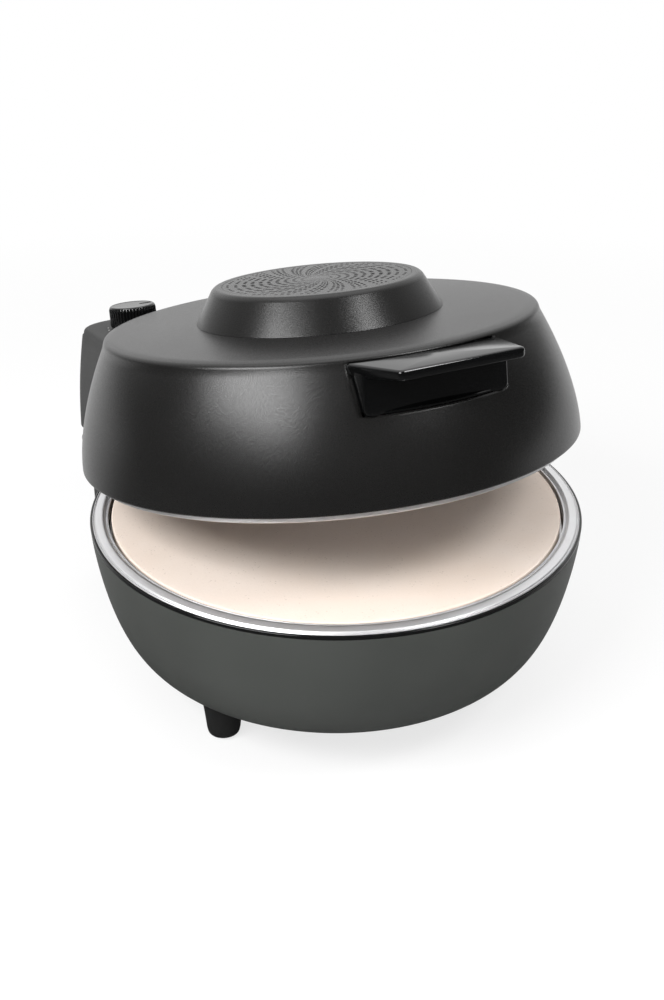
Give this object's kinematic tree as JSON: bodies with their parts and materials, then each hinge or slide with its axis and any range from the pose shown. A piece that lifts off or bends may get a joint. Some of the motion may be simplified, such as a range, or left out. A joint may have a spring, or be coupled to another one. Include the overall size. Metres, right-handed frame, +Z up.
{
  "type": "electric pizza oven",
  "caption": "Round countertop pizza oven: bowl-shaped base on feet with a baking stone, and a rear-hinged domed lid with a vent cap, shelf handle and thermostat knob.",
  "frame": {"origin": "centre of the bounding box's bottom face, on the table under the feet", "axes": "+Z up, -Y towards the front with the handle, +X to the right seen from the front"},
  "size_m": [0.3336, 0.3786, 0.2923],
  "materials": {
    "grey_enamel": "satin",
    "black_enamel": "satin",
    "steel": "satin",
    "aluminium": "satin",
    "stone": "matte",
    "black_gloss_plastic": "gloss",
    "grey_plastic": "matte",
    "rubber": "matte",
    "fibre": "matte",
    "white_plastic": "matte"
  },
  "bodies": {
    "base": {"base_shell": "grey_enamel", "lip_trim": "black_gloss_plastic", "rim_ring": "aluminium", "stone_pan": "aluminium", "baking_stone": "stone", "lower_heater": "steel", "lower_heater_clips": "steel", "base_insulation": "fibre", "bottom_plate": "steel", "bottom_plate_screws": "steel", "foot_front_left": "grey_plastic", "foot_front_right": "grey_plastic", "foot_rear_left": "grey_plastic", "foot_rear_right": "grey_plastic", "foot_pad_front_left": "rubber", "foot_pad_front_right": "rubber", "foot_pad_rear_left": "rubber", "foot_pad_rear_right": "rubber", "foot_screws": "steel", "hinge_housing": "grey_plastic", "hinge_housing_screws": "steel", "hinge_pin_left": "steel", "hinge_pin_right": "steel", "hinge_washers": "steel", "cord_gland": "black_gloss_plastic", "terminal_block": "white_plastic", "base_cutout": "steel", "base_leads": "white_plastic"},
    "lid": {"lid_shell": "black_enamel", "lid_ring": "aluminium", "lid_liner": "aluminium", "upper_heater": "steel", "upper_heater_clips": "steel", "lid_insulation": "fibre", "vent_cap": "black_enamel", "vent_grille": "black_enamel", "vent_cap_screws": "steel", "handle": "black_gloss_plastic", "handle_stiffener": "steel", "handle_screws": "steel", "control_housing": "grey_plastic", "housing_cover": "grey_plastic", "housing_screws": "steel", "hinge_arm_left": "aluminium", "hinge_arm_right": "aluminium", "hinge_arm_screws": "steel", "thermostat_body": "steel", "thermostat_nut": "steel", "lid_cutout": "steel", "lid_leads": "white_plastic"},
    "knob": {"thermostat_shaft": "steel", "knob": "black_gloss_plastic", "knob_pointer": "white_plastic"}
  },
  "joints": [
    {"name": "lid_hinge", "type": "hinge", "parent": "base", "child": "lid", "pos_m": [0, 0.17667, 0.1155], "axis": [-1, 0, 0], "range_deg": [-11, 64]},
    {"name": "knob_turn", "type": "hinge", "parent": "lid", "child": "knob", "pos_m": [-0.08036, 0.14449, 0.21497], "axis": [0, 0.1908, 0.9816], "range_deg": [-200, 70]}
  ]
}
